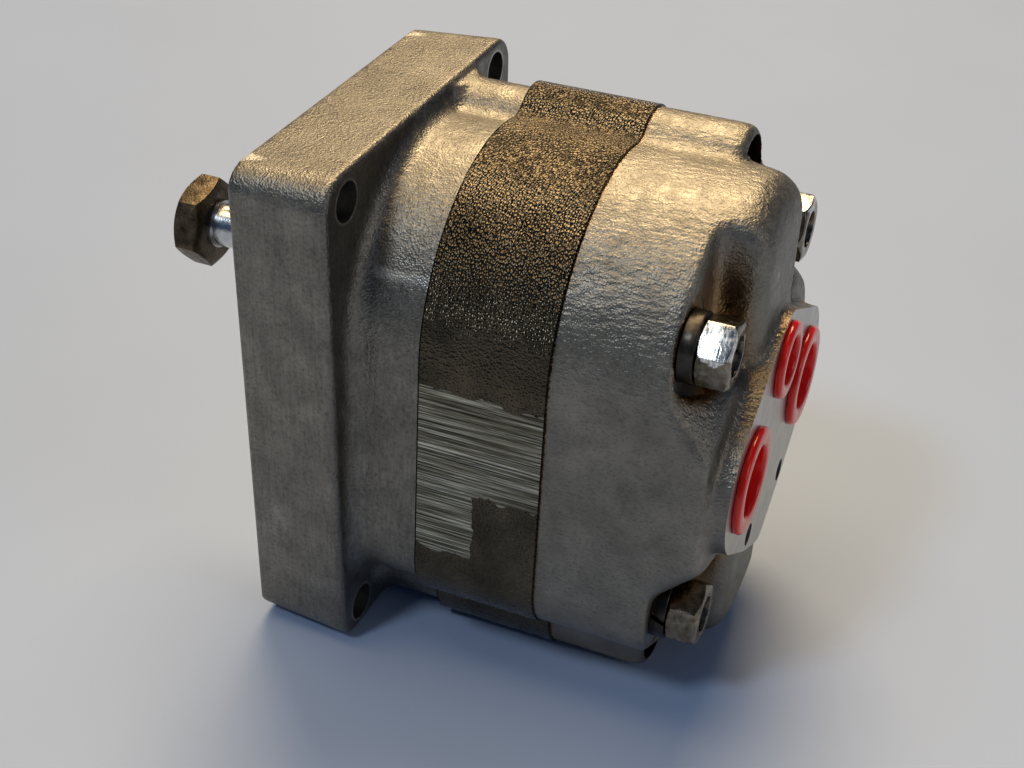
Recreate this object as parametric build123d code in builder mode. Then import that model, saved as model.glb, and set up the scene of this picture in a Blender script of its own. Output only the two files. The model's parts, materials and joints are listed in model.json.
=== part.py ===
from build123d import *
import math
import os

# Hydraulic gear motor in three bolted sections, in millimetres.
# The motor's axis is X. The origin is the centre of the flange's hole pattern on the mounting face.
# The shaft points to -X, the ports to +X, and +Z is up. The motor stands on its flange and a lobe.

# Flange and neck of the front cover
flange_height = 114.3
flange_width = 88.9
flange_thickness = 22.0
flange_corner_radius = 7.0
flange_draft = 4.0
flange_edge_radius = 1.3
flange_hole_diameter = 8.4
flange_hole_edge_y = 8.75
flange_hole_edge_z = 6.35
pilot_radius = 25.4
pilot_height = 3.2
neck_length = 16.0
neck_inset = 1.6
neck_foot_radius = 4.0

# Gear housing
housing_length = 27.4

# Port cover
port_face_height = 37.4
pocket_depth = 13.2
cover_inset = 0.4
cover_foot_radius = 3.0
lobe_step = 2.6
lobe_rim_radius = 2.5
lobe_recess_radius = 7.0
lobe_recess_depth = 9.0
tower_drop = 2.6
tower_half_width = 14.0
tower_end_radius = 8.0
tower_edge_radius = 4.0
port_ridge_drop = 4.2
port_cone_radius = 28.3
port_cone_draft = 40.0
port_ridge_radius = 2.0
port_boss_radius = 15.6
drain_boss_radius = 10.4
foot_boss_radius = 6.0
foot_boss_z = 24.5
screw_boss_radius = 3.6
screw_hole_radius = 2.5
screw_hole_depth = 12.0
screw_y = 12.5
screw_z = 20.5

# Outline shared by the three sections
barrel_radius = 38.2
corner_boss_radius = 13.3
corner_boss_y = 27.5
corner_boss_z = 29.5
lobe_radius = 11.0
lobe_y = 18.5
lobe_blend_radius = 5.0

# Gears
gear_teeth = 13
gear_module = 2.54
pressure_angle = 20.0
tooth_thinning = 0.16
root_clearance = 0.25
root_fillet_radius = 0.5
gear_bore_clearance = 0.04
side_clearance = 0.05
tip_clearance = 0.06
wear_plate_thickness = 3.2
plate_clearance = 0.05
plate_hole_clearance = 0.3

# Shafts, keys and bushes
journal_radius = 9.525
journal_clearance = 0.04
bush_wall = 3.175
bush_length = 16.0
bush_bed_depth = 2.0
shaft_end_gap = 1.0
shaft_chamfer = 0.8
output_length = 21.0
neck_radius = 5.0
nut_seat_gap = 10.4
thread_radius = 5.55
thread_run_out = 1.0
thread_stand_out = 1.2
thread_clearance = 0.03
shaft_nut_flats = 18.3
shaft_nut_thickness = 6.5
shaft_nut_turn = 13.0
output_key_size = 4.76
output_key_length = 15.0
output_key_setback = 2.0
gear_key_size = 3.2
gear_key_setback = 1.0
key_clearance = 0.02

# Shaft seal
seal_radius = 15.9
seal_width = 8.0
seal_shell = 1.0
seal_opening_clearance = 2.0
seal_lip_clearance = 0.05
seal_lip_land = 1.0
shaft_hole_clearance = 2.0
ring_width = 1.3
ring_groove_depth = 1.2
ring_clearance = 0.1
ring_inner_radius = 13.6
ring_gap = 12.0

# Studs, nuts and lock washers
stud_radius = 3.97
stud_y = 27.5
stud_z = 32.2
stud_hole_clearance = 0.35
stud_thread_depth = 20.0
stud_chamfer = 0.6
nut_flats = 12.7
nut_thickness = 6.75
nut_face_share = 0.96
nut_chamfer_angle = 30.0
nut_socket_depth = 2.0
nut_turns = (24.0, 42.0, 10.0, 4.5)
washer_thickness = 3.1
washer_radius = 7.2
washer_split = 0.9
washer_split_slant = 25.0
washer_turns = (165.0, 300.0, 60.0, 20.0)
spot_face_radius = 9.6
spot_face_depth = 0.5

# Dowels
dowel_radius = 3.175
dowel_length = 40.0
dowel_clearance = 0.03
dowel_chamfer = 0.5

# Seals between the sections
seal_cord = 2.4
seal_groove_clearance = 0.05
seal_groove_depth = 1.9
seal_offset = 4.0

# Ports
port_y = 20.9
port_bore_radius = 8.73
port_depth = 14.0
passage_radius = 6.0
passage_y = 13.0
passage_overlap = 2.0
drain_bore_radius = 6.5
drain_depth = 11.0
drain_passage_radius = 3.5

# Port plugs
plug_clearance = 0.3
plug_flange_radius = 11.25
plug_flange_thickness = 1.6
plug_wall = 0.95
plug_skirt_length = 9.0
plug_floor = 1.2
plug_mouth_chamfer = 0.5
drain_plug_flange_radius = 8.3
drain_plug_skirt_length = 7.0

# How far off an edge or corner may lie to count as the one looked for
match_tolerance = 0.01

# Places that follow from the sizes above
pitch_radius = gear_teeth * gear_module / 2
gear_z = pitch_radius
tip_radius = pitch_radius + gear_module
root_radius = pitch_radius - gear_module * (1 + root_clearance)
base_radius = pitch_radius * math.cos(math.radians(pressure_angle))
chamber_radius = tip_radius + tip_clearance
flange_hole_pitch_y = flange_width - 2 * flange_hole_edge_y
flange_hole_pitch_z = flange_height - 2 * flange_hole_edge_z
lobe_z = flange_height / 2 - lobe_radius
housing_start = flange_thickness + neck_length
cover_start = housing_start + housing_length
cover_depth = port_face_height - pocket_depth
cover_floor = cover_start + cover_depth
lobe_height = cover_depth - lobe_step
tower_height = port_face_height - tower_drop
port_ridge_height = port_face_height - port_ridge_drop
port_face = cover_start + port_face_height
gear_start = housing_start + wear_plate_thickness + side_clearance
gear_width = housing_length - 2 * (wear_plate_thickness + side_clearance)
bush_radius = journal_radius + bush_wall
shaft_hole_radius = journal_radius + shaft_hole_clearance
front_bush_start = housing_start - bush_length
shaft_rear_end = cover_start + bush_length - shaft_end_gap
shaft_nut_start = -output_length - nut_seat_gap - shaft_nut_thickness
dowel_reach = (dowel_length - housing_length) / 2
nut_seat = cover_floor - spot_face_depth
nut_start = nut_seat + washer_thickness
stud_start = housing_start - stud_thread_depth
stud_end = nut_start + nut_thickness - nut_socket_depth
drive_place = (0, gear_z)
idler_place = (0, -gear_z)
gear_places = [drive_place, idler_place]
stud_places = [(y, z) for y in (-stud_y, stud_y) for z in (-stud_z, stud_z)]
lobe_places = [(lobe_y, lobe_z), (-lobe_y, -lobe_z)]
corner_places = [(corner_boss_y, corner_boss_z), (-corner_boss_y, -corner_boss_z)]
near_port_place = (-port_y, 0)
far_port_place = (port_y, 0)
port_places = [near_port_place, far_port_place]
passage_places = [(-passage_y, 0), (passage_y, 0)]
screw_places = [(-screw_y, -screw_z), (screw_y, -screw_z)]


def circles(x, radius, places):
    """Circles of one radius, square to the motor's axis."""
    with BuildSketch(Plane.YZ.offset(x)) as outline:
        with Locations(*places):
            Circle(radius)
    return outline.sketch


def hexagon(x, flats, place, turn):
    """Hexagon across the given flats, square to the motor's axis."""
    with BuildSketch(Plane.YZ.offset(x)) as outline:
        with Locations(place):
            RegularPolygon(flats / math.sqrt(3), 6, rotation=turn)
    return outline.sketch


def draw_body(inset):
    """Draw two barrels and two corner bosses, with straight sides between them."""
    with Locations(*gear_places):
        Circle(barrel_radius - inset)
    with Locations(*corner_places):
        Circle(corner_boss_radius - inset)
    make_hull()


def body_outline(x, inset):
    """Outline of the body without its lobes."""
    with BuildSketch(Plane.YZ.offset(x)) as outline:
        draw_body(inset)
    return outline.sketch


def section_outline(x, inset):
    """Outline of a section: the body with its two dowel lobes, blended in."""
    lobe_size = lobe_radius - inset
    with BuildSketch(Plane.YZ.offset(x)) as outline:
        draw_body(inset)
        with Locations(*lobe_places):
            Circle(lobe_size)
        corners = [
            corner
            for corner in outline.vertices()
            for y, z in lobe_places
            if abs(math.hypot(corner.X - y, corner.Y - z) - lobe_size) < match_tolerance
        ]
        fillet(corners, lobe_blend_radius)
    return outline.sketch


def racetrack(x, radius):
    """Loop of one radius around both gear centres."""
    with BuildSketch(Plane.YZ.offset(x)) as outline:
        SlotCenterToCenter(2 * gear_z, 2 * radius, rotation=90)
    return outline.sketch


def section_seal(x, half_width, depth):
    """Seal ring between two sections, squeezed flat in its groove."""
    centre_radius = chamber_radius + seal_offset
    with BuildPart() as ring:
        extrude(racetrack(x, centre_radius + half_width), amount=depth)
        extrude(racetrack(x, centre_radius - half_width), amount=depth, mode=Mode.SUBTRACT)
    return ring.part


def key_bar(start, length, size, centre_z):
    """Square bar along the top of a shaft, half sunk in it."""
    with BuildPart() as bar:
        with BuildSketch(Plane.YZ.offset(start)):
            with Locations((0, centre_z + journal_radius)):
                Rectangle(size, size)
        extrude(amount=length)
    return bar.part


def gear_key(place):
    """Square key of a gear."""
    length = gear_width - 2 * gear_key_setback
    return key_bar(gear_start + gear_key_setback, length, gear_key_size, place[1])


def gear_keyway(place):
    """Room for a gear's key in its shaft, with clearance all round."""
    start = gear_start + gear_key_setback - key_clearance
    length = gear_width - 2 * (gear_key_setback - key_clearance)
    return key_bar(start, length, gear_key_size + 2 * key_clearance, place[1])


def involute_point(radius):
    """Point of a tooth's flank at a radius, for a tooth centred on the first axis."""
    half_width = math.pi * gear_module / 4 - tooth_thinning / 2
    pressure = math.acos(min(1.0, base_radius / radius))
    pitch_pressure = math.radians(pressure_angle)
    roll = math.tan(pressure) - pressure
    pitch_roll = math.tan(pitch_pressure) - pitch_pressure
    angle = half_width / pitch_radius + pitch_roll - roll
    return (radius * math.cos(angle), radius * math.sin(angle))


def gear_tooth():
    """One involute tooth centred on the first axis, with its foot just inside the root circle."""
    flank = [involute_point(radius) for radius in (base_radius, pitch_radius, tip_radius)]
    foot_share = (root_radius - root_fillet_radius) / base_radius
    foot = (flank[0][0] * foot_share, flank[0][1] * foot_share)
    with BuildSketch() as tooth:
        with BuildLine():
            Line(foot, flank[0])
            ThreePointArc(*flank)
            ThreePointArc(flank[-1], (tip_radius, 0), (flank[-1][0], -flank[-1][1]))
            ThreePointArc(*[(u, -v) for u, v in reversed(flank)])
            Line((flank[0][0], -flank[0][1]), (foot[0], -foot[1]))
            Line((foot[0], -foot[1]), foot)
        make_face()
    return tooth.sketch


def gear_outline(x, place, first_tooth):
    """Gear with rounded tooth roots and one tooth at the angle first_tooth."""
    tooth = gear_tooth()
    with BuildSketch(Plane.YZ.offset(x)) as outline:
        with Locations(place):
            Circle(root_radius)
            with PolarLocations(0, gear_teeth, start_angle=first_tooth):
                add(tooth)
        roots = [
            corner
            for corner in outline.vertices()
            if abs(math.hypot(corner.X - place[0], corner.Y - place[1]) - root_radius) < match_tolerance
        ]
        fillet(roots, root_fillet_radius)
    return outline.sketch


def gear(place, first_tooth):
    """Spur gear with its bore and keyway."""
    bore_radius = journal_radius + gear_bore_clearance
    keyway_size = gear_key_size + 2 * key_clearance
    with BuildPart() as blank:
        extrude(gear_outline(gear_start, place, first_tooth), amount=gear_width)
        extrude(circles(gear_start, bore_radius, [place]), amount=gear_width, mode=Mode.SUBTRACT)
        add(key_bar(gear_start, gear_width, keyway_size, place[1]), mode=Mode.SUBTRACT)
    return blank.part


def bush(start, place):
    """Plain bearing bush."""
    bore_radius = journal_radius + journal_clearance
    with BuildPart() as sleeve:
        extrude(circles(start, bush_radius, [place]), amount=bush_length)
        extrude(circles(start, bore_radius, [place]), amount=bush_length, mode=Mode.SUBTRACT)
    return sleeve.part


def wear_plate(start):
    """Plate at the gears' side, with holes for the shafts and windows for the oil."""
    plate_radius = chamber_radius - plate_clearance
    hole_radius = journal_radius + plate_hole_clearance
    with BuildPart() as plate:
        extrude(circles(start, plate_radius, gear_places), amount=wear_plate_thickness)
        for radius, places in ((hole_radius, gear_places), (passage_radius, passage_places)):
            extrude(circles(start, radius, places), amount=wear_plate_thickness, mode=Mode.SUBTRACT)
    return plate.part


def inner_edges(builder, x):
    """Edges in an inner corner that lie square to the motor's axis at x."""
    edges = builder.edges().filter_by_position(Axis.X, x - match_tolerance, x + match_tolerance)
    return [edge for edge in edges if edge.is_interior]


def port_cone(place):
    """Cone that carries a port, on a wide plate, with a flared foot and a rounded top."""
    height = port_ridge_height - cover_depth
    top_radius = port_cone_radius - height * math.tan(math.radians(port_cone_draft))
    with BuildPart() as hill:
        with BuildSketch(Plane.YZ.offset(cover_start)):
            Rectangle(4 * flange_width, 4 * flange_height)
        extrude(amount=cover_depth)
        with BuildSketch(Plane.XZ.offset(-place[0])):
            Polygon(
                (cover_start, 0),
                (cover_floor, port_cone_radius),
                (cover_floor + height, top_radius),
                (cover_floor + height, 0),
                align=None,
            )
        revolve(axis=Axis((0, place[0], 0), (1, 0, 0)))
        fillet(inner_edges(hill, cover_floor), cover_foot_radius)
        fillet(hill.faces().sort_by(Axis.X)[-1].edges(), port_ridge_radius)
    return hill.part


def hex_nut(x, flats, thickness, place, hole_radius, turn):
    """Hex nut with its corners chamfered at both faces."""
    face_radius = flats / 2 * nut_face_share
    corner_radius = flats / math.sqrt(3)
    drop = (corner_radius - face_radius) * math.tan(math.radians(nut_chamfer_angle))
    start = (x, place[0], place[1])
    with BuildPart() as nut:
        with BuildSketch(Plane(start, x_dir=(1, 0, 0), z_dir=(0, -1, 0))):
            Polygon(
                (0, 0),
                (thickness, 0),
                (thickness, face_radius),
                (thickness - drop, corner_radius),
                (drop, corner_radius),
                (0, face_radius),
                align=None,
            )
        revolve(axis=Axis(start, (1, 0, 0)))
        extrude(hexagon(x, flats, place, turn), amount=thickness, mode=Mode.INTERSECT)
        extrude(circles(x, hole_radius, [place]), amount=thickness, mode=Mode.SUBTRACT)
    return nut.part


def lock_washer(place, turn):
    """Spring washer with a slanted split."""
    slant = math.tan(math.radians(washer_split_slant))
    side = (-math.sin(math.radians(turn)) * slant, math.cos(math.radians(turn)) * slant)
    bore_radius = stud_radius + stud_hole_clearance
    with BuildPart() as washer:
        extrude(circles(nut_seat, washer_radius, [place]), amount=washer_thickness)
        extrude(circles(nut_seat, bore_radius, [place]), amount=washer_thickness, mode=Mode.SUBTRACT)
        with BuildSketch(Plane.YZ.offset(nut_seat)):
            with Locations(place):
                with PolarLocations(washer_radius, 1, start_angle=turn):
                    Rectangle(washer_radius, washer_split)
        extrude(
            amount=washer_thickness * math.hypot(1, slant),
            dir=(1, side[0], side[1]),
            mode=Mode.SUBTRACT,
        )
    return washer.part


def port_plug(place, bore_radius, flange_radius, skirt_length):
    """Flanged plastic cup, open outwards."""
    skirt_radius = bore_radius - plug_clearance
    rim = port_face + plug_flange_thickness
    hollow_depth = plug_flange_thickness + skirt_length - plug_floor
    with BuildPart() as plug:
        extrude(circles(port_face, flange_radius, [place]), amount=plug_flange_thickness)
        extrude(circles(port_face, skirt_radius, [place]), amount=-skirt_length)
        extrude(
            circles(rim, skirt_radius - plug_wall, [place]),
            amount=-hollow_depth,
            mode=Mode.SUBTRACT,
        )
        rim_edges = plug.edges().filter_by(GeomType.CIRCLE).group_by(Axis.X)[-1]
        chamfer(rim_edges, plug_mouth_chamfer)
    return plug.part


os.makedirs("parts", exist_ok=True)

# Neck of the front cover, with a foot that spreads over the flange's back
with BuildPart() as neck:
    with BuildSketch(Plane.YZ.offset(flange_thickness)):
        Rectangle(2 * flange_width, 2 * flange_height)
    extrude(amount=-flange_thickness)
    extrude(section_outline(flange_thickness, neck_inset), amount=neck_length)
    fillet(inner_edges(neck, flange_thickness), neck_foot_radius)
    with BuildSketch(Plane.YZ.offset(flange_thickness)):
        Rectangle(flange_width - 2 * flange_edge_radius, flange_height - 2 * flange_edge_radius)
    extrude(amount=neck_length, mode=Mode.INTERSECT)

# Front cover: drafted flange and pilot, with the bearing, seal, stud and dowel bores
with BuildPart() as front_cover:
    with BuildSketch(Plane.YZ.offset(flange_thickness)):
        RectangleRounded(flange_width, flange_height, flange_corner_radius)
    extrude(amount=-flange_thickness)
    flange_sides = front_cover.faces().sort_by(Axis.X)[1:-1]
    draft(flange_sides, Plane.YZ.offset(flange_thickness), -flange_draft)
    fillet(front_cover.faces().sort_by(Axis.X)[-1].edges(), flange_edge_radius)
    add(neck.part)
    extrude(circles(0, pilot_radius, [drive_place]), amount=-pilot_height)
    with BuildSketch(Plane.YZ):
        with GridLocations(flange_hole_pitch_y, flange_hole_pitch_z, 2, 2):
            Circle(flange_hole_diameter / 2)
    extrude(amount=housing_start, mode=Mode.SUBTRACT)
    extrude(
        circles(-pilot_height, seal_radius, [drive_place]),
        amount=pilot_height + seal_width,
        mode=Mode.SUBTRACT,
    )
    extrude(
        circles(-ring_width, seal_radius + ring_groove_depth, [drive_place]),
        amount=ring_width,
        mode=Mode.SUBTRACT,
    )
    extrude(circles(0, shaft_hole_radius, [drive_place]), amount=housing_start, mode=Mode.SUBTRACT)
    extrude(circles(housing_start, bush_radius, gear_places), amount=-bush_length, mode=Mode.SUBTRACT)
    extrude(
        circles(front_bush_start, shaft_hole_radius, [idler_place]),
        amount=-bush_bed_depth,
        mode=Mode.SUBTRACT,
    )
    extrude(
        circles(housing_start, stud_radius + thread_clearance, stud_places),
        amount=-stud_thread_depth,
        mode=Mode.SUBTRACT,
    )
    extrude(
        circles(housing_start, dowel_radius + dowel_clearance, lobe_places),
        amount=-dowel_reach,
        mode=Mode.SUBTRACT,
    )
front_cover.part.label = "front_cover"
export_step(front_cover.part, "parts/front_cover.step")

# Gear housing: the gears' chamber with its oil windows, and a seal groove in each face
seal_groove_half_width = seal_cord / 2 + seal_groove_clearance
with BuildPart() as gear_housing:
    extrude(section_outline(housing_start, 0), amount=housing_length)
    for radius, places in (
        (chamber_radius, gear_places),
        (passage_radius, passage_places),
        (stud_radius + stud_hole_clearance, stud_places),
        (dowel_radius + dowel_clearance, lobe_places),
    ):
        extrude(circles(housing_start, radius, places), amount=housing_length, mode=Mode.SUBTRACT)
    add(section_seal(housing_start, seal_groove_half_width, seal_groove_depth), mode=Mode.SUBTRACT)
    add(section_seal(cover_start, seal_groove_half_width, -seal_groove_depth), mode=Mode.SUBTRACT)
gear_housing.part.label = "gear_housing"
export_step(gear_housing.part, "parts/gear_housing.step")

# Bearing towers of the port cover: the barrels carried on, rounded over and cut to a wall
with BuildPart() as towers:
    extrude(racetrack(cover_start, barrel_radius - cover_inset), amount=tower_height)
    fillet(towers.faces().sort_by(Axis.X)[-1].edges(), tower_end_radius)
    with BuildSketch(Plane.YZ.offset(cover_start)):
        Rectangle(2 * tower_half_width, 2 * (gear_z + barrel_radius))
    extrude(amount=tower_height, mode=Mode.INTERSECT)
    wall_edges = [
        edge
        for edge in towers.edges().filter_by_position(Axis.X, cover_start + match_tolerance, port_face)
        if abs(abs(edge.center().Y) - tower_half_width) < match_tolerance
    ]
    fillet(wall_edges, tower_edge_radius)

# Crown of the port cover: towers and port bar on a plate, before it is cut to the outline
with BuildPart() as crown:
    with BuildSketch(Plane.YZ.offset(cover_start)):
        Rectangle(2 * flange_width, 2 * flange_height)
    extrude(amount=cover_depth)
    add(towers.part)
    fillet(inner_edges(crown, cover_floor), cover_foot_radius)
    for place in port_places:
        add(port_cone(place))
    with BuildSketch(Plane.YZ.offset(cover_floor)):
        with Locations(*port_places):
            Circle(port_boss_radius)
        with Locations(drive_place):
            Circle(drain_boss_radius)
        with Locations((0, -foot_boss_z)):
            Circle(foot_boss_radius)
        with Locations(*screw_places):
            Circle(screw_boss_radius)
        make_hull()
    extrude(amount=port_face_height - cover_depth)
    fillet(inner_edges(crown, cover_start + port_ridge_height), port_ridge_radius)

# Dowel lobes of the port cover, rounded over at their ends
with BuildPart() as lobes:
    extrude(section_outline(cover_start, cover_inset), amount=lobe_height)
    fillet(lobes.faces().sort_by(Axis.X)[-1].edges(), lobe_rim_radius)

# Port cover: the crown within the outline, with lobes, ports, bearing bores and stud pockets
with BuildPart() as port_cover:
    extrude(body_outline(cover_start, cover_inset), amount=port_face_height)
    add(crown.part, mode=Mode.INTERSECT)
    add(lobes.part)
    extrude(
        circles(cover_start + lobe_height, lobe_recess_radius, lobe_places),
        amount=-lobe_recess_depth,
        mode=Mode.SUBTRACT,
    )
    extrude(circles(nut_seat, spot_face_radius, stud_places), amount=port_face_height, mode=Mode.SUBTRACT)
    extrude(
        circles(cover_start, stud_radius + stud_hole_clearance, stud_places),
        amount=cover_depth,
        mode=Mode.SUBTRACT,
    )
    extrude(
        circles(cover_start, dowel_radius + dowel_clearance, lobe_places),
        amount=dowel_reach,
        mode=Mode.SUBTRACT,
    )
    extrude(circles(cover_start, bush_radius, gear_places), amount=bush_length, mode=Mode.SUBTRACT)
    extrude(circles(port_face, port_bore_radius, port_places), amount=-port_depth, mode=Mode.SUBTRACT)
    extrude(
        circles(cover_start, passage_radius, passage_places),
        amount=port_face_height - port_depth + passage_overlap,
        mode=Mode.SUBTRACT,
    )
    extrude(circles(port_face, drain_bore_radius, [drive_place]), amount=-drain_depth, mode=Mode.SUBTRACT)
    extrude(
        circles(cover_start, drain_passage_radius, [drive_place]),
        amount=port_face_height,
        mode=Mode.SUBTRACT,
    )
    extrude(
        circles(port_face, screw_hole_radius, screw_places),
        amount=-screw_hole_depth,
        mode=Mode.SUBTRACT,
    )
port_cover.part.label = "port_cover"
export_step(port_cover.part, "parts/port_cover.step")

# Studs, through housing and port cover into the front cover
with BuildPart() as tie_studs:
    extrude(circles(stud_start, stud_radius, stud_places), amount=stud_end - stud_start)
    chamfer(tie_studs.edges().filter_by(GeomType.CIRCLE), stud_chamfer)
tie_studs.part.label = "tie_studs"
export_step(tie_studs.part, "parts/tie_studs.step")

# Nuts on the studs
with BuildPart() as tie_nuts:
    for place, turn in zip(stud_places, nut_turns):
        add(hex_nut(nut_start, nut_flats, nut_thickness, place, stud_radius + thread_clearance, turn))
tie_nuts.part.label = "tie_nuts"
export_step(tie_nuts.part, "parts/tie_nuts.step")

# Lock washers under the nuts
with BuildPart() as lock_washers:
    for place, turn in zip(stud_places, washer_turns):
        add(lock_washer(place, turn))
lock_washers.part.label = "lock_washers"
export_step(lock_washers.part, "parts/lock_washers.step")

# Dowels that line up the three sections
with BuildPart() as dowel_pins:
    extrude(circles(housing_start - dowel_reach, dowel_radius, lobe_places), amount=dowel_length)
    chamfer(dowel_pins.edges().filter_by(GeomType.CIRCLE), dowel_chamfer)
dowel_pins.part.label = "dowel_pins"
export_step(dowel_pins.part, "parts/dowel_pins.step")

# Seals between the sections
front_section_seal = section_seal(housing_start, seal_cord / 2, seal_groove_depth)
front_section_seal.label = "front_section_seal"
export_step(front_section_seal, "parts/front_section_seal.step")
rear_section_seal = section_seal(cover_start, seal_cord / 2, -seal_groove_depth)
rear_section_seal.label = "rear_section_seal"
export_step(rear_section_seal, "parts/rear_section_seal.step")

# Bearing bushes
for name, start, place in (
    ("front_drive_bush", front_bush_start, drive_place),
    ("rear_drive_bush", cover_start, drive_place),
    ("front_idler_bush", front_bush_start, idler_place),
    ("rear_idler_bush", cover_start, idler_place),
):
    sleeve = bush(start, place)
    sleeve.label = name
    export_step(sleeve, f"parts/{name}.step")

# Wear plates
for name, start in (
    ("front_wear_plate", housing_start),
    ("rear_wear_plate", cover_start - wear_plate_thickness),
):
    plate = wear_plate(start)
    plate.label = name
    export_step(plate, f"parts/{name}.step")

# Drive shaft: journals, output end with its keyway, slim neck and thread
with BuildPart() as drive_shaft:
    extrude(circles(-output_length, journal_radius, [drive_place]), amount=output_length + shaft_rear_end)
    shaft_rims = drive_shaft.edges().filter_by(GeomType.CIRCLE)
    chamfer(shaft_rims, shaft_chamfer)
    neck_length_out = nut_seat_gap - thread_run_out
    extrude(circles(-output_length, neck_radius, [drive_place]), amount=-neck_length_out)
    thread_length = thread_run_out + shaft_nut_thickness + thread_stand_out
    extrude(
        circles(-output_length - neck_length_out, thread_radius, [drive_place]),
        amount=-thread_length,
    )
    thread_end = drive_shaft.edges().filter_by(GeomType.CIRCLE).group_by(Axis.X)[0]
    chamfer(thread_end, stud_chamfer)
    add(gear_keyway(drive_place), mode=Mode.SUBTRACT)
    output_keyway = key_bar(
        output_key_setback - output_length - key_clearance,
        output_key_length + 2 * key_clearance,
        output_key_size + 2 * key_clearance,
        gear_z,
    )
    add(output_keyway, mode=Mode.SUBTRACT)
drive_shaft.part.label = "drive_shaft"
export_step(drive_shaft.part, "parts/drive_shaft.step")

# Idler shaft
with BuildPart() as idler_shaft:
    idler_start = front_bush_start + shaft_end_gap
    extrude(circles(idler_start, journal_radius, [idler_place]), amount=shaft_rear_end - idler_start)
    chamfer(idler_shaft.edges().filter_by(GeomType.CIRCLE), shaft_chamfer)
    add(gear_keyway(idler_place), mode=Mode.SUBTRACT)
idler_shaft.part.label = "idler_shaft"
export_step(idler_shaft.part, "parts/idler_shaft.step")

# Gears, a tooth of the upper one standing in a gap of the lower one
for name, place, first_tooth in (
    ("drive_gear", drive_place, -90.0),
    ("idler_gear", idler_place, 90.0 + 180.0 / gear_teeth),
):
    wheel = gear(place, first_tooth)
    wheel.label = name
    export_step(wheel, f"parts/{name}.step")

# Keys of the gears
for name, place in (("drive_gear_key", drive_place), ("idler_gear_key", idler_place)):
    bar = gear_key(place)
    bar.label = name
    export_step(bar, f"parts/{name}.step")

# Key for the wheel or coupling that the shaft drives
output_key = key_bar(output_key_setback - output_length, output_key_length, output_key_size, gear_z)
output_key.label = "output_key"
export_step(output_key, "parts/output_key.step")

# Nut on the end of the drive shaft
shaft_nut = hex_nut(
    shaft_nut_start,
    shaft_nut_flats,
    shaft_nut_thickness,
    drive_place,
    thread_radius + thread_clearance,
    shaft_nut_turn,
)
shaft_nut.label = "shaft_nut"
export_step(shaft_nut, "parts/shaft_nut.step")

# Steel case of the shaft seal
with BuildPart() as seal_case:
    extrude(circles(0, seal_radius, [drive_place]), amount=seal_width)
    extrude(
        circles(seal_shell, seal_radius - seal_shell, [drive_place]),
        amount=seal_width,
        mode=Mode.SUBTRACT,
    )
    extrude(
        circles(0, journal_radius + seal_opening_clearance, [drive_place]),
        amount=seal_width,
        mode=Mode.SUBTRACT,
    )
seal_case.part.label = "seal_case"
export_step(seal_case.part, "parts/seal_case.step")

# Rubber lip of the shaft seal
with BuildPart() as seal_lip:
    with BuildSketch(Plane.XZ):
        with Locations((0, gear_z)):
            Polygon(
                (seal_shell, seal_radius - seal_shell),
                (seal_shell, journal_radius + seal_opening_clearance),
                ((seal_width - seal_lip_land) / 2, journal_radius + seal_lip_clearance),
                ((seal_width + seal_lip_land) / 2, journal_radius + seal_lip_clearance),
                (seal_width - seal_shell, journal_radius + seal_opening_clearance),
                (seal_width, seal_radius - seal_shell),
                align=None,
            )
    revolve(axis=Axis((0, 0, gear_z), (1, 0, 0)))
seal_lip.part.label = "seal_lip"
export_step(seal_lip.part, "parts/seal_lip.step")

# Retaining ring that holds the shaft seal
with BuildPart() as seal_retaining_ring:
    ring_radius = seal_radius + ring_groove_depth - ring_clearance
    extrude(circles(-ring_width, ring_radius, [drive_place]), amount=ring_width)
    extrude(circles(-ring_width, ring_inner_radius, [drive_place]), amount=ring_width, mode=Mode.SUBTRACT)
    with BuildSketch(Plane.YZ):
        with Locations((0, gear_z - ring_radius)):
            Rectangle(ring_gap, ring_radius)
    extrude(amount=-ring_width, mode=Mode.SUBTRACT)
seal_retaining_ring.part.label = "seal_retaining_ring"
export_step(seal_retaining_ring.part, "parts/seal_retaining_ring.step")

# Plastic plugs that close the ports
for name, place, bore_radius, flange_radius, skirt_length in (
    ("inlet_port_plug", near_port_place, port_bore_radius, plug_flange_radius, plug_skirt_length),
    ("outlet_port_plug", far_port_place, port_bore_radius, plug_flange_radius, plug_skirt_length),
    ("drain_port_plug", drive_place, drain_bore_radius, drain_plug_flange_radius, drain_plug_skirt_length),
):
    plug = port_plug(place, bore_radius, flange_radius, skirt_length)
    plug.label = name
    export_step(plug, f"parts/{name}.step")
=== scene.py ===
"""Looks of a hydraulic gear motor: two aluminium castings round an iron section, on a pale table."""

import json
import math

import bmesh
import bpy
from mathutils import Matrix, Vector, noise

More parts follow.
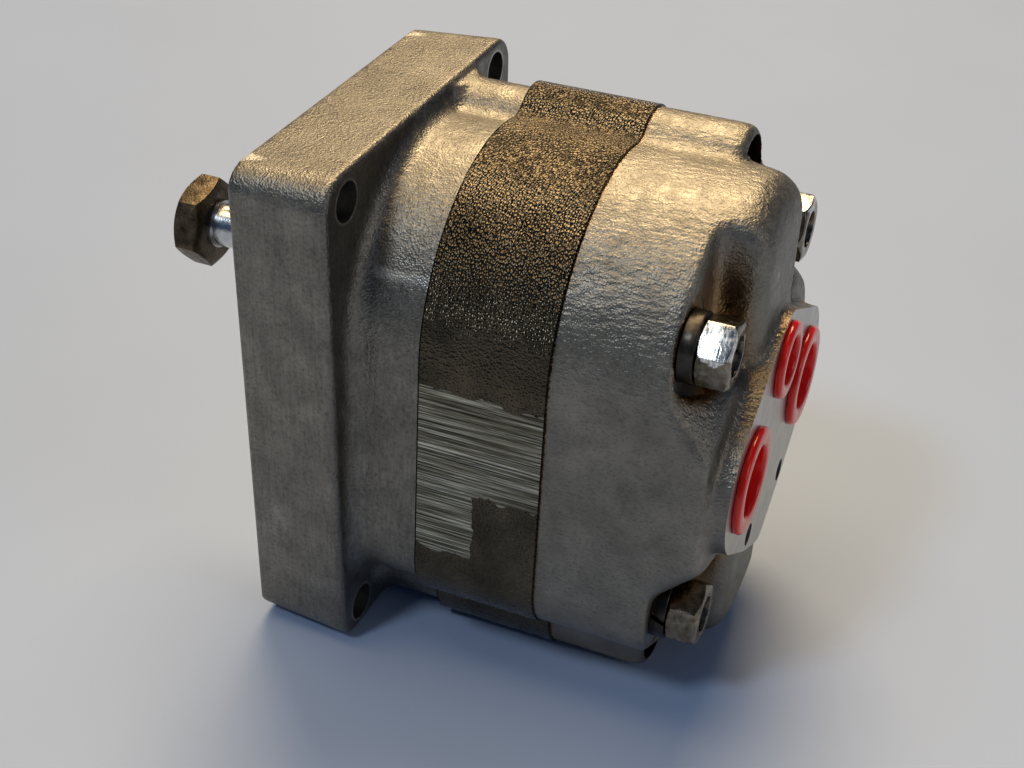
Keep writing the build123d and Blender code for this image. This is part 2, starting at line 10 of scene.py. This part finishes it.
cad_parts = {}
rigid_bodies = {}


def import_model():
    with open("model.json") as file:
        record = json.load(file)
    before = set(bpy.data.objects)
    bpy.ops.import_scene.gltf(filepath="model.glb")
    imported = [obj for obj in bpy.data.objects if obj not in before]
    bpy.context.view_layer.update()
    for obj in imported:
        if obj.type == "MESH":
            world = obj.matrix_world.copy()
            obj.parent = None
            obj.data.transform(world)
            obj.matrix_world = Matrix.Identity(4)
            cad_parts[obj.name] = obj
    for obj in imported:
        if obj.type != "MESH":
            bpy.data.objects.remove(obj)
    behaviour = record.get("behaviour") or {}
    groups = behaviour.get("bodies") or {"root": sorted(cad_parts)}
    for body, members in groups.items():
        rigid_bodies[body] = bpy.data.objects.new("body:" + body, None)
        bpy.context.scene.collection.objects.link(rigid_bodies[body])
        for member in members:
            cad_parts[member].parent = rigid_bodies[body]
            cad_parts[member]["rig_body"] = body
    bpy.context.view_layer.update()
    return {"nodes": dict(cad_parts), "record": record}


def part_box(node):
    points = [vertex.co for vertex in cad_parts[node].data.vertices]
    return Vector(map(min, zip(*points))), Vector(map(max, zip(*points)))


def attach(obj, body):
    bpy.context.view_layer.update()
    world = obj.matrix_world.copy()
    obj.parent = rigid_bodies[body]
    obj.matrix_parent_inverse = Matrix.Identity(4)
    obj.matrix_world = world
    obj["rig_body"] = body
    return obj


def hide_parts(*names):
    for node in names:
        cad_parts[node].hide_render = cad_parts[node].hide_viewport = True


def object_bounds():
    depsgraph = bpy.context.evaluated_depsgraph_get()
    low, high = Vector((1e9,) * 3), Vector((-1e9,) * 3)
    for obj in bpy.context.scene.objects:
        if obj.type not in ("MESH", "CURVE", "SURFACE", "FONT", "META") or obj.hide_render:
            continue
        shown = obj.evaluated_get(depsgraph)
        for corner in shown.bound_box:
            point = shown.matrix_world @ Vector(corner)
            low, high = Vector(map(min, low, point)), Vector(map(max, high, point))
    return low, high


MM = 0.001

# Camera
CAMERA_PLACE = Vector((150.42, -267.84, 188.38)) * MM
CAMERA_TARGET = Vector((43.91, -2.73, -5.01)) * MM
CAMERA_ROLL = math.radians(1.87)
CAMERA_LENS = 54.48
CAMERA_START = 0.01

# Table and room, in metres and linear colours
TABLE_SIZE = 60.0
ROOM_COLOUR = (0.3, 0.55, 1.0)
ROOM_STRENGTH = 0.11

# Lamps: the side each shines from, its width in degrees, its strength and its colour
WARM = (1.0, 0.76, 0.45)
LAMPS = {
    "warm_behind": ((-0.2, 0.58, 0.8), 34.0, 3.1, WARM),
    "warm_overhead": ((-0.34, 0.0, 1.0), 33.0, 0.9, WARM),
    "cool_front": ((-0.3, -0.52, 0.8), 10.0, 0.7, (0.8, 0.9, 1.0)),
    "soft_right": ((0.86, -0.2, 0.45), 28.0, 0.3, (1.0, 0.93, 0.84)),
}

# Castings: mesh fineness, soft edges and the waves of the sand mould's skin
VOXEL = 0.5 * MM
SOFTENING_FACTOR = 0.5
COVER_SOFTENING = 55
FLANGE_SOFTENING = 3
STRETCH = 6.0 * MM
FILL_OVERLAP = 0.4 * MM
COVER_WAVE_HEIGHT = 0.14 * MM
COVER_WAVE_SIZE = Vector((2.6, 0.9, 0.9)) * MM
COVER_WAVE_FLOOR = -2 * MM
COVER_WAVE_FADE = 12 * MM
COVER_WAVE_LEAST = 0.15
FLANGE_WAVE_HEIGHT = 0.06 * MM
FLANGE_WAVE_SIZE = Vector((3.0, 3.0, 3.0)) * MM
FINE_WAVE_SHARE = 0.4
FINE_WAVE_STEP = 2.3

# Meshes
ROD_SEGMENTS = 96
SLAB_SIZE = 0.4
JOIN_REACH = 0.001 * MM
PLANE_REACH = 0.01 * MM
SMOOTH_ANGLE = math.radians(40.0)
FLAT_ANGLE = math.radians(1.0)
BEVEL_ANGLE = math.radians(35.0)
BEVEL_SEGMENTS = 2

# Holes of the castings
PORT_BORE = 8.73 * MM
PORT_DEPTH = 14.0 * MM
DRAIN_BORE = 6.5 * MM
DRAIN_DEPTH = 11.0 * MM
SCREW_BORE = 2.5 * MM
SCREW_DEPTH = 12.0 * MM
SCREW_Y = 12.5 * MM
SCREW_Z = -20.5 * MM
STUD_RADIUS = 3.97 * MM
STUD_BORE = 4.32 * MM
DOWEL_RADIUS = 3.175 * MM
SPOT_FACE = 9.6 * MM
RECESS_RADIUS = 8.7 * MM
RECESS_STEP = 15.8 * MM
LOBE_STEP = 21.6 * MM
FLANGE_BORE = 4.2 * MM
FLANGE_HOLE_EDGE = Vector((0.0, 8.75, 6.35)) * MM
FLANGE_DEPTH = 22.0 * MM

# Dressed hardware: its finish and the width of its broken edges
HARDWARE = {
    "tie_nuts": ("nut_steel", 0.35 * MM),
    "lock_washers": ("washer_steel", 0.3 * MM),
    "shaft_nut": ("shaft_nut_steel", 0.5 * MM),
    "inlet_port_plug": ("red_plastic", 0.3 * MM),
    "outlet_port_plug": ("red_plastic", 0.3 * MM),
    "drain_port_plug": ("red_plastic", 0.3 * MM),
}

# Iron section: the grime at its joints, and the two parts of its ground patch
JOINT_PLACES = (38.0 * MM, 65.4 * MM)
JOINT_GRIME = 0.3 * MM
PATCH_UPPER = (-8 * MM, 15 * MM)
PATCH_LOWER = (-24 * MM, -6 * MM)
PATCH_LOWER_END = 51 * MM
PATCH_NEAR = -36 * MM
PATCH_GRAIN = 5 * MM
PATCH_WANDER = 5.0 * MM

# Nut faces given a painted highlight, bright where they catch the light
PAINTED_HIGHLIGHT_FACES = (Vector((95.6, -31.75, 36.9)) * MM, Vector((95.6, 27.0, 38.5)) * MM)
PAINTED_HIGHLIGHT_RADIUS = 4.4 * MM
SPOT_GRAIN = 1.2 * MM
SPOT_WANDER = 2.0 * MM

# Colours, linear, from dark to light
FLANGE_GREYS = ((0.2, 0.186, 0.16), (0.25, 0.232, 0.2), (0.31, 0.288, 0.25))
COVER_GREYS = ((0.2, 0.186, 0.16), (0.265, 0.246, 0.212), (0.33, 0.306, 0.265))
MACHINED_GREYS = ((0.38, 0.365, 0.34), (0.5, 0.485, 0.455))
WORN_EDGE = (0.62, 0.59, 0.53)
# Oil colour in the cover's hollows, darker there as painted shade
POCKET_OIL_AND_SHADE = (0.3, 0.16, 0.05)
IRON_BROWNS = ((0.05, 0.041, 0.028), (0.12, 0.096, 0.064))
GROUND_GREYS = ((0.045, 0.04, 0.026), (0.2, 0.185, 0.13), (0.68, 0.65, 0.53))
GRIME = (0.01, 0.008, 0.006)
# Painted highlight colour on two nut faces, then the nuts' own dull colour
NUT_PAINTED_HIGHLIGHT = ((0.75, 0.73, 0.69), (0.95, 0.93, 0.88))
NUT_DULL = ((0.1, 0.075, 0.05), (0.3, 0.26, 0.2))
PLUG_REDS = ((0.8, 0.008, 0.003), (0.9, 0.015, 0.005))
RUBBER_GREYS = (0.012, 0.03)
TABLE_BLUES = ((0.335, 0.42, 0.6), (0.35, 0.44, 0.63))

# Roughness of oily pockets and of ground iron, as greys
OILY = (0.26, 0.26, 0.26)
GROUND = (0.3, 0.3, 0.3)

# Plain metals: dark and light colour, least and greatest roughness, and relief where it isn't fine
FINE_RELIEF = 0.03 * MM
PLAIN_METALS = {
    "stud_steel": ((0.08, 0.07, 0.06), (0.25, 0.23, 0.21), 0.3, 0.5),
    "washer_steel": ((0.025, 0.021, 0.018), (0.08, 0.07, 0.06), 0.3, 0.5),
    "shaft_nut_steel": ((0.035, 0.026, 0.017), (0.16, 0.12, 0.075), 0.3, 0.5, 0.25 * MM),
    "ground_steel": ((0.5, 0.5, 0.5), (0.75, 0.75, 0.75), 0.15, 0.3),
    "key_steel": ((0.3, 0.3, 0.3), (0.5, 0.5, 0.5), 0.3, 0.45),
    "gear_steel": ((0.4, 0.4, 0.41), (0.6, 0.6, 0.61), 0.2, 0.35),
    "bronze": ((0.45, 0.26, 0.1), (0.62, 0.4, 0.17), 0.25, 0.4),
    "seal_steel": ((0.3, 0.3, 0.3), (0.5, 0.5, 0.5), 0.3, 0.45),
    "ring_steel": ((0.06, 0.06, 0.06), (0.15, 0.15, 0.15), 0.3, 0.5),
}

# Where most of a noise's values lie, and how many rays look into a hollow
NOISE_LOW = 0.3
NOISE_HIGH = 0.7
HOLLOW_SAMPLES = 8

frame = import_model()
nodes = frame["nodes"]


def centre(node):
    """Middle of a CAD node's box."""
    low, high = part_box(node)
    return (low + high) / 2


def mirrored(corner):
    """The four places that mirror a corner about the motor's axis."""
    return [Vector((0, y, z)) for y in (-corner.y, corner.y) for z in (-corner.z, corner.z)]


class Finish:
    """A procedural material, built up from noise in the object's own space."""

    def __init__(self, name, roughness, metallic=1.0):
        self.material = bpy.data.materials.new(name)
        self.material.use_nodes = True
        self.tree = self.material.node_tree
        self.shader = self.tree.nodes["Principled BSDF"]
        self.shader.inputs["Metallic"].default_value = metallic
        self.shader.inputs["Roughness"].default_value = roughness
        self.place = self.tree.nodes.new("ShaderNodeTexCoord").outputs["Object"]

    def link(self, source, target):
        """Join one socket to another."""
        self.tree.links.new(source, target)

    def grain(self, size, detail=2.0, stretch=(1.0, 1.0, 1.0)):
        """Noise whose lumps are about size across, stretched along an axis by its number."""
        mapping = self.tree.nodes.new("ShaderNodeMapping")
        mapping.inputs["Scale"].default_value = [1.0 / (size * s) for s in stretch]
        self.link(self.place, mapping.inputs["Vector"])
        texture = self.tree.nodes.new("ShaderNodeTexNoise")
        texture.inputs["Scale"].default_value = 1.0
        texture.inputs["Detail"].default_value = detail
        self.link(mapping.outputs["Vector"], texture.inputs["Vector"])
        return texture.outputs["Fac"]

    def mottle(self, size, detail, dark, light):
        """Patches about size across, between two colours or two numbers."""
        return self.ramp(self.grain(size, detail), (NOISE_LOW, dark), (NOISE_HIGH, light))

    def ragged(self, size, wander):
        """Lengths that wander about zero, to make an edge ragged."""
        return self.sums("MULTIPLY_ADD", self.grain(size, 3.0), wander, -wander / 2)

    def crystals(self, size):
        """Sharp grains about size across, each a small cone."""
        texture = self.tree.nodes.new("ShaderNodeTexVoronoi")
        texture.inputs["Scale"].default_value = 1.0 / size
        self.link(self.place, texture.inputs["Vector"])
        return texture.outputs["Distance"]

    def spot(self, point, radius):
        """1 in a ball round a point, 0 outside it, with a ragged edge."""
        gap = self.tree.nodes.new("ShaderNodeVectorMath")
        gap.operation = "DISTANCE"
        self.link(self.place, gap.inputs[0])
        gap.inputs[1].default_value = point
        distance = self.sums("ADD", gap.outputs["Value"], self.ragged(SPOT_GRAIN, SPOT_WANDER))
        return self.sums("LESS_THAN", distance, radius)

    def within(self, value, low, high):
        """1 between two places along a value, 0 outside them."""
        above = self.sums("GREATER_THAN", value, low)
        return self.sums("MULTIPLY", above, self.sums("LESS_THAN", value, high))

    def ramp(self, value, *stops):
        """Colours or numbers along a value, each stop a place and a colour or a number."""
        node = self.tree.nodes.new("ShaderNodeValToRGB")
        band = node.color_ramp
        while len(band.elements) < len(stops):
            band.elements.new(0.5)
        for element, (place, colour) in zip(band.elements, stops):
            element.position = place
            shade = colour if isinstance(colour, tuple) else (colour,) * 3
            element.color = (*shade, 1.0)
        self.link(value, node.inputs["Fac"])
        return node.outputs["Color"]

    def sums(self, operation, first, second=0.0, third=0.0):
        """One step of arithmetic."""
        node = self.tree.nodes.new("ShaderNodeMath")
        node.operation = operation
        for value, socket in zip((first, second, third), node.inputs):
            if isinstance(value, float):
                socket.default_value = value
            else:
                self.link(value, socket)
        return node.outputs["Value"]

    def blend(self, share, first, second, kind="MIX"):
        """Second colour over the first one, by share."""
        node = self.tree.nodes.new("ShaderNodeMix")
        node.data_type = "RGBA"
        node.blend_type = kind
        sockets = [s for s in node.inputs if s.enabled]
        for value, socket in zip((share, first, second), sockets):
            if isinstance(value, float):
                socket.default_value = value
            elif isinstance(value, tuple):
                socket.default_value = (*value, 1.0)
            else:
                self.link(value, socket)
        return [s for s in node.outputs if s.enabled][0]

    def axis(self, name):
        """How far along one axis a place lies."""
        node = self.tree.nodes.new("ShaderNodeSeparateXYZ")
        self.link(self.place, node.inputs["Vector"])
        return node.outputs[name]

    def hollows(self, reach, inside=False):
        """0 deep in hollows and 1 in the open, or from inside, 0 at outer edges."""
        node = self.tree.nodes.new("ShaderNodeAmbientOcclusion")
        node.inputs["Distance"].default_value = reach
        node.inside = inside
        node.samples = HOLLOW_SAMPLES
        return node.outputs["AO"]

    def bump(self, height, distance):
        """Fine relief, over any that is there already."""
        node = self.tree.nodes.new("ShaderNodeBump")
        node.inputs["Distance"].default_value = distance
        self.link(height, node.inputs["Height"])
        normal = self.shader.inputs["Normal"]
        if normal.is_linked:
            self.link(normal.links[0].from_socket, node.inputs["Normal"])
        self.link(node.outputs["Normal"], normal)

    def colour(self, source):
        """Surface colour."""
        self.link(source, self.shader.inputs["Base Color"])

    def rough(self, source):
        """Roughness that varies."""
        self.link(source, self.shader.inputs["Roughness"])


def cast_aluminium():
    """Flange and neck: bare cast aluminium, mottled grey, with a fine sandy skin."""
    look = Finish("cast_aluminium", 0.42)
    base = look.ramp(look.grain(9 * MM, 6.0), *zip((0.3, 0.55, 0.75), FLANGE_GREYS))
    specks = look.ramp(look.grain(0.8 * MM, 3.0), (0.3, 0.7), (0.55, 1.0))
    saw_marks = look.ramp(look.grain(0.5 * MM, 4.0, (1.0, 1.0, 16.0)), (0.35, 0.82), (0.6, 1.0))
    base = look.blend(1.0, look.blend(1.0, base, specks, "MULTIPLY"), saw_marks, "MULTIPLY")
    worn = look.ramp(look.hollows(1.2 * MM, True), (0.55, 1.0), (0.8, 0.0))
    look.colour(look.blend(worn, base, WORN_EDGE))
    look.rough(look.mottle(3 * MM, 4.0, 0.36, 0.54))
    look.bump(look.grain(0.8 * MM, 3.0), 0.12 * MM)
    look.bump(look.crystals(0.45 * MM), 0.08 * MM)
    return look.material


def cover_aluminium():
    """Port cover: cast aluminium, a little oily in its pockets, and darkened there by painted shade.
    """
    look = Finish("cover_aluminium", 0.36)
    base = look.ramp(look.grain(7 * MM, 5.0), *zip((0.3, 0.6, 0.8), COVER_GREYS))
    open_share = look.ramp(look.hollows(13 * MM), (0.4, 0.0), (0.85, 1.0))
    pits = look.ramp(look.grain(0.55 * MM, 3.0, (1.5, 1.0, 1.0)), (0.32, 0.78), (0.5, 1.0))
    # Hollows take an amber oil colour that is also painted shade, and an oily roughness
    look.colour(look.blend(open_share, POCKET_OIL_AND_SHADE, look.blend(1.0, base, pits, "MULTIPLY")))
    look.rough(look.blend(open_share, OILY, look.mottle(2.5 * MM, 4.0, 0.38, 0.54)))
    look.bump(look.grain(0.7 * MM, 3.0, (2.5, 1.0, 1.0)), 0.16 * MM)
    look.bump(look.crystals(0.45 * MM), 0.08 * MM)
    return look.material


def machined_aluminium():
    """Machined faces and bores."""
    look = Finish("machined_aluminium", 0.3)
    look.colour(look.mottle(4 * MM, 4.0, *MACHINED_GREYS))
    look.bump(look.grain(0.35 * MM, 2.0, (1.0, 1.0, 8.0)), 0.02 * MM)
    return look.material


def ground_share(look, along):
    """1 where the iron is ground bare: a full band above, and part of one below it."""
    wander = look.ragged(PATCH_GRAIN, PATCH_WANDER)
    height = look.sums("ADD", look.axis("Z"), wander)
    end = look.sums("LESS_THAN", look.sums("ADD", along, wander), PATCH_LOWER_END)
    lower = look.sums("MULTIPLY", look.within(height, *PATCH_LOWER), end)
    both = look.sums("MAXIMUM", look.within(height, *PATCH_UPPER), lower)
    return look.sums("MULTIPLY", both, look.sums("LESS_THAN", look.axis("Y"), PATCH_NEAR))


def cast_iron():
    """Gear housing: dark brown iron with a coarse glossy skin, and a patch ground bare."""
    look = Finish("cast_iron", 0.3)
    along = look.axis("X")
    ground = ground_share(look, along)
    iron = look.mottle(10 * MM, 5.0, *IRON_BROWNS)
    scratches = look.grain(0.3 * MM, 6.0, (60.0, 1.0, 1.0))
    bare = look.ramp(scratches, *zip((0.35, 0.5, 0.68), GROUND_GREYS))
    first, last = JOINT_PLACES
    inner = look.within(along, first + JOINT_GRIME, last - JOINT_GRIME)
    look.colour(look.blend(inner, GRIME, look.blend(ground, iron, bare)))
    look.rough(look.blend(ground, look.mottle(2 * MM, 2.0, 0.2, 0.33), GROUND))
    look.bump(look.blend(ground, look.crystals(0.6 * MM), scratches), 0.26 * MM)
    return look.material


def plain_metal(name, dark, light, least, greatest, relief=FINE_RELIEF):
    """Worn metal between two colours, with its roughness between two values."""
    look = Finish(name, least)
    look.colour(look.mottle(2.5 * MM, 5.0, dark, light))
    look.rough(look.mottle(1.5 * MM, 3.0, least, greatest))
    look.bump(look.grain(0.5 * MM, 3.0), relief)
    return look.material


def nut_steel():
    """Tie nuts: dull brown steel, with a painted highlight of bright scratched steel on two faces.
    """
    look = Finish("nut_steel", 0.3)
    scratches = look.ramp(look.grain(0.5 * MM, 4.0, (1.0, 7.0, 2.0)), (0.35, 0.5), (0.6, 1.0))
    # Painted highlight: bright scratched steel in spots on two faces, over the dull colour
    painted_highlight = look.blend(1.0, look.mottle(3 * MM, 4.0, *NUT_PAINTED_HIGHLIGHT), scratches, "MULTIPLY")
    dull = look.mottle(1.6 * MM, 5.0, *NUT_DULL)
    highlight_spots = [look.spot(point, PAINTED_HIGHLIGHT_RADIUS) for point in PAINTED_HIGHLIGHT_FACES]
    look.colour(look.blend(look.sums("MAXIMUM", *highlight_spots), dull, painted_highlight))
    look.rough(look.mottle(1.2 * MM, 3.0, 0.15, 0.34))
    look.bump(look.grain(0.5 * MM, 3.0, (1.0, 7.0, 2.0)), 0.05 * MM)
    return look.material


def red_plastic():
    """Glossy red plugs."""
    look = Finish("red_plastic", 0.16, 0.0)
    look.colour(look.mottle(6 * MM, 2.0, *PLUG_REDS))
    look.bump(look.grain(1.5 * MM, 2.0), 0.02 * MM)
    return look.material


def seal_rubber():
    """Black rubber."""
    look = Finish("seal_rubber", 0.6, 0.0)
    look.colour(look.mottle(3 * MM, 2.0, *RUBBER_GREYS))
    look.bump(look.grain(0.6 * MM), FINE_RELIEF)
    return look.material


def table_top():
    """Pale blue-grey table."""
    look = Finish("table_top", 0.55, 0.0)
    look.colour(look.mottle(120 * MM, 3.0, *TABLE_BLUES))
    look.bump(look.grain(1.5 * MM, 2.0), 0.02 * MM)
    return look.material


LOOKS = {
    "cast_aluminium": cast_aluminium(),
    "cover_aluminium": cover_aluminium(),
    "machined": machined_aluminium(),
    "cast_iron": cast_iron(),
    "nut_steel": nut_steel(),
    "red_plastic": red_plastic(),
    "seal_rubber": seal_rubber(),
}
LOOKS.update({name: plain_metal(name, *values) for name, values in PLAIN_METALS.items()})


def copy_of(node, name):
    """A piece of the scene with the shape of a CAD node, its faces joined at their edges."""
    mesh = nodes[node].data.copy()
    mesh.materials.clear()
    shape = bmesh.new()
    shape.from_mesh(mesh)
    bmesh.ops.remove_doubles(shape, verts=shape.verts, dist=JOIN_REACH)
    shape.to_mesh(mesh)
    shape.free()
    piece = bpy.data.objects.new(name, mesh)
    bpy.context.collection.objects.link(piece)
    return piece


def bake(piece):
    """Turn the piece's modifiers into its mesh."""
    graph = bpy.context.evaluated_depsgraph_get()
    mesh = bpy.data.meshes.new_from_object(piece.evaluated_get(graph))
    piece.modifiers.clear()
    piece.data = mesh


def rod(shape, place, radius, start, end):
    """Add a round rod along X to a shape."""
    middle = Matrix.Translation(((start + end) / 2, place.y, place.z))
    bmesh.ops.create_cone(
        shape,
        cap_ends=True,
        segments=ROD_SEGMENTS,
        radius1=radius,
        radius2=radius,
        depth=end - start,
        matrix=middle @ Matrix.Rotation(math.pi / 2, 4, "Y"),
    )


def tool(build, finish="machined"):
    """A cutting shape, made by the function build, and the finish it leaves."""
    mesh = bpy.data.meshes.new("tool")
    shape = bmesh.new()
    build(shape)
    shape.to_mesh(mesh)
    shape.free()
    mesh.materials.append(LOOKS[finish])
    cutter = bpy.data.objects.new("tool", mesh)
    bpy.context.collection.objects.link(cutter)
    return cutter


def cut(piece, cutter):
    """Take the cutter's shape out of the piece, its faces keeping the cutter's finish."""
    modifier = piece.modifiers.new("cut", "BOOLEAN")
    modifier.operation = "DIFFERENCE"
    modifier.object = cutter
    modifier.solver = "MANIFOLD"
    modifier.material_mode = "TRANSFER"
    bake(piece)
    bpy.data.objects.remove(cutter)


def drill(piece, place, radius, start, end, finish="machined"):
    """Cut a round hole along X."""
    cut(piece, tool(lambda shape: rod(shape, place, radius, start, end), finish))


def mill(piece, start, end):
    """Cut away everything between two places along X."""
    middle = Matrix.Translation(((start + end) / 2, 0, 0))
    size = Matrix.Diagonal((end - start, SLAB_SIZE, SLAB_SIZE, 1.0))
    cut(piece, tool(lambda shape: bmesh.ops.create_cube(shape, size=1.0, matrix=middle @ size)))


def stretch(piece, plane, distance):
    """Carry the walls that end at a plane on past it."""
    for vertex in piece.data.vertices:
        if abs(vertex.co.x - plane) < PLANE_REACH:
            vertex.co.x += distance


def fill(piece, holes):
    """Stop up holes with rods before the skin is formed."""
    shape = bmesh.new()
    shape.from_mesh(piece.data)
    for place, radius, start, end in holes:
        rod(shape, place, radius + FILL_OVERLAP, start, end)
    shape.to_mesh(piece.data)
    shape.free()


def form_skin(piece, softening):
    """One even mesh round the piece, with its edges softened as a sand mould leaves them."""
    remesh = piece.modifiers.new("skin", "REMESH")
    remesh.mode = "VOXEL"
    remesh.voxel_size = VOXEL
    soften = piece.modifiers.new("soften", "SMOOTH")
    soften.factor = SOFTENING_FACTOR
    soften.iterations = softening
    bake(piece)


def wave(piece, height, size, share):
    """Sink the skin in low waves, each place by its share of the height."""
    normals = [v.vector for v in piece.data.vertex_normals]
    for vertex, normal in zip(piece.data.vertices, normals):
        place = Vector(vertex.co[i] / size[i] for i in range(3))
        fine = FINE_WAVE_SHARE * noise.noise(place * FINE_WAVE_STEP)
        crest = 1.0 - 2.0 * abs(noise.noise(place) + fine)
        vertex.co -= normal * height * share(vertex.co) * max(0.0, min(1.0, 1.0 - crest))


def cover_share(place):
    """The cover's skin is wrinkled above the middle and nearly smooth below."""
    return max(COVER_WAVE_LEAST, min(1.0, (place.z - COVER_WAVE_FLOOR) / COVER_WAVE_FADE))


def neck_share(place):
    """The neck is sandy, the sawn flange is not."""
    return float(place.x > FLANGE_DEPTH)


def show(piece, node, slot):
    """The piece stands for a CAD node, with its body and its finish."""
    piece.data.set_sharp_from_angle(angle=SMOOTH_ANGLE)
    if slot not in [m.name for m in piece.data.materials]:
        piece.data.materials.append(LOOKS[slot])
    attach(piece, nodes[node]["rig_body"])
    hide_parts(node)


def cover_holes(face):
    """Holes in the cover's machined face: the place, radius, start and end of each."""
    end = face + STRETCH
    ports = [centre(plug) for plug in ("inlet_port_plug", "outlet_port_plug")]
    screws = [Vector((0, y, SCREW_Z)) for y in (-SCREW_Y, SCREW_Y)]
    holes = [(place, PORT_BORE, face - PORT_DEPTH, end) for place in ports]
    holes.append((centre("drain_port_plug"), DRAIN_BORE, face - DRAIN_DEPTH, end))
    return holes + [(place, SCREW_BORE, face - SCREW_DEPTH, end) for place in screws]


def cover_skin(start, face, plugged):
    """The cover's rough casting, whole where holes are drilled later."""
    piece = copy_of("port_cover", "port_cover_casting")
    piece.data.materials.append(LOOKS["cover_aluminium"])
    stretch(piece, start, -STRETCH)
    stretch(piece, face, STRETCH)
    fill(piece, plugged)
    form_skin(piece, COVER_SOFTENING)
    wave(piece, COVER_WAVE_HEIGHT, COVER_WAVE_SIZE, cover_share)
    return piece


def cover_recesses(piece, start):
    """Round recesses in the cover's two lobes, in line with the dowels."""
    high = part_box("dowel_pins")[1]
    dowel = high - Vector((high.x, DOWEL_RADIUS, DOWEL_RADIUS))
    low, top = start + RECESS_STEP, start + LOBE_STEP
    for side in (-1, 1):
        place = centre("dowel_pins") + side * dowel
        drill(piece, place, RECESS_RADIUS, low, top, "cover_aluminium")


def port_cover():
    """Casting of the port cover, with its machined face and holes cut into the rough skin."""
    start, face = [corner.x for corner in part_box("port_cover")]
    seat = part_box("lock_washers")[0].x
    studs = mirrored(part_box("tie_studs")[1] - Vector((0, STUD_RADIUS, STUD_RADIUS)))
    stud_holes = [(place, STUD_BORE, start - STRETCH, seat) for place in studs]
    piece = cover_skin(start, face, cover_holes(face) + stud_holes)
    mill(piece, start - 2 * STRETCH, start)
    mill(piece, face, face + 2 * STRETCH)
    for hole in cover_holes(face):
        drill(piece, *hole)
    for place in studs:
        drill(piece, place, SPOT_FACE, seat, face)
        drill(piece, place, STUD_BORE, start - STRETCH, face)
    cover_recesses(piece, start)
    show(piece, "port_cover", "cover_aluminium")


def front_cover():
    """Casting of the flange and neck, with its bolt holes and joint face cut."""
    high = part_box("front_cover")[1]
    corners = mirrored(high - FLANGE_HOLE_EDGE)
    piece = copy_of("front_cover", "front_cover_casting")
    piece.data.materials.append(LOOKS["cast_aluminium"])
    stretch(piece, high.x, STRETCH)
    fill(piece, [(place, FLANGE_BORE, 0.0, FLANGE_DEPTH) for place in corners])
    form_skin(piece, FLANGE_SOFTENING)
    wave(piece, FLANGE_WAVE_HEIGHT, FLANGE_WAVE_SIZE, neck_share)
    mill(piece, high.x, high.x + 2 * STRETCH)
    for place in corners:
        drill(piece, place, FLANGE_BORE, -STRETCH, high.x + STRETCH)
    show(piece, "front_cover", "cast_aluminium")


def hardware(node, slot, edge):
    """A turned or milled piece with its edges broken."""
    piece = copy_of(node, node + "_piece")
    planar = piece.modifiers.new("planar", "DECIMATE")
    planar.decimate_type = "DISSOLVE"
    planar.angle_limit = FLAT_ANGLE
    bevel = piece.modifiers.new("edges", "BEVEL")
    bevel.width = edge
    bevel.segments = BEVEL_SEGMENTS
    bevel.limit_method = "ANGLE"
    bevel.angle_limit = BEVEL_ANGLE
    bake(piece)
    show(piece, node, slot)


def dress_nodes():
    """Give each CAD node the finish that the record names."""
    for entry in frame["record"]["subparts"]:
        mesh = nodes[entry["node"]].data
        mesh.materials.clear()
        mesh.materials.append(LOOKS[entry["material_slot"]])


def lamp(name, side, width, strength, colour):
    """Soft light from one side, even over the whole table."""
    light = bpy.data.lights.new(name, "SUN")
    light.angle = math.radians(width)
    light.energy = strength
    light.color = colour
    holder = bpy.data.objects.new(name, light)
    holder.rotation_euler = (-Vector(side)).to_track_quat("-Z", "Y").to_euler()
    bpy.context.collection.objects.link(holder)


def set_stage():
    """Table, room and lamps."""
    bpy.ops.mesh.primitive_plane_add(size=TABLE_SIZE, location=(0, 0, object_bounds()[0][2]))
    table = bpy.context.object
    table.name = "table"
    table.data.materials.append(table_top())
    world = bpy.data.worlds.new("room")
    bpy.context.scene.world = world
    world.use_nodes = True
    background = world.node_tree.nodes["Background"].inputs
    background["Color"].default_value = (*ROOM_COLOUR, 1.0)
    background["Strength"].default_value = ROOM_STRENGTH
    for name, values in LAMPS.items():
        lamp(name, *values)


def set_camera():
    """Camera at the photograph's angle."""
    camera = bpy.data.cameras.new("camera")
    camera.lens = CAMERA_LENS
    camera.clip_start = CAMERA_START
    holder = bpy.data.objects.new("camera", camera)
    aim = (CAMERA_TARGET - CAMERA_PLACE).to_track_quat("-Z", "Y").to_matrix().to_4x4()
    roll = Matrix.Rotation(CAMERA_ROLL, 4, "Z")
    holder.matrix_world = Matrix.Translation(CAMERA_PLACE) @ aim @ roll
    bpy.context.collection.objects.link(holder)
    bpy.context.scene.camera = holder


set_camera()
set_stage()
port_cover()
front_cover()
for node, (slot, edge) in HARDWARE.items():
    hardware(node, slot, edge)
dress_nodes()

bpy.context.scene.view_settings.view_transform = "Standard"
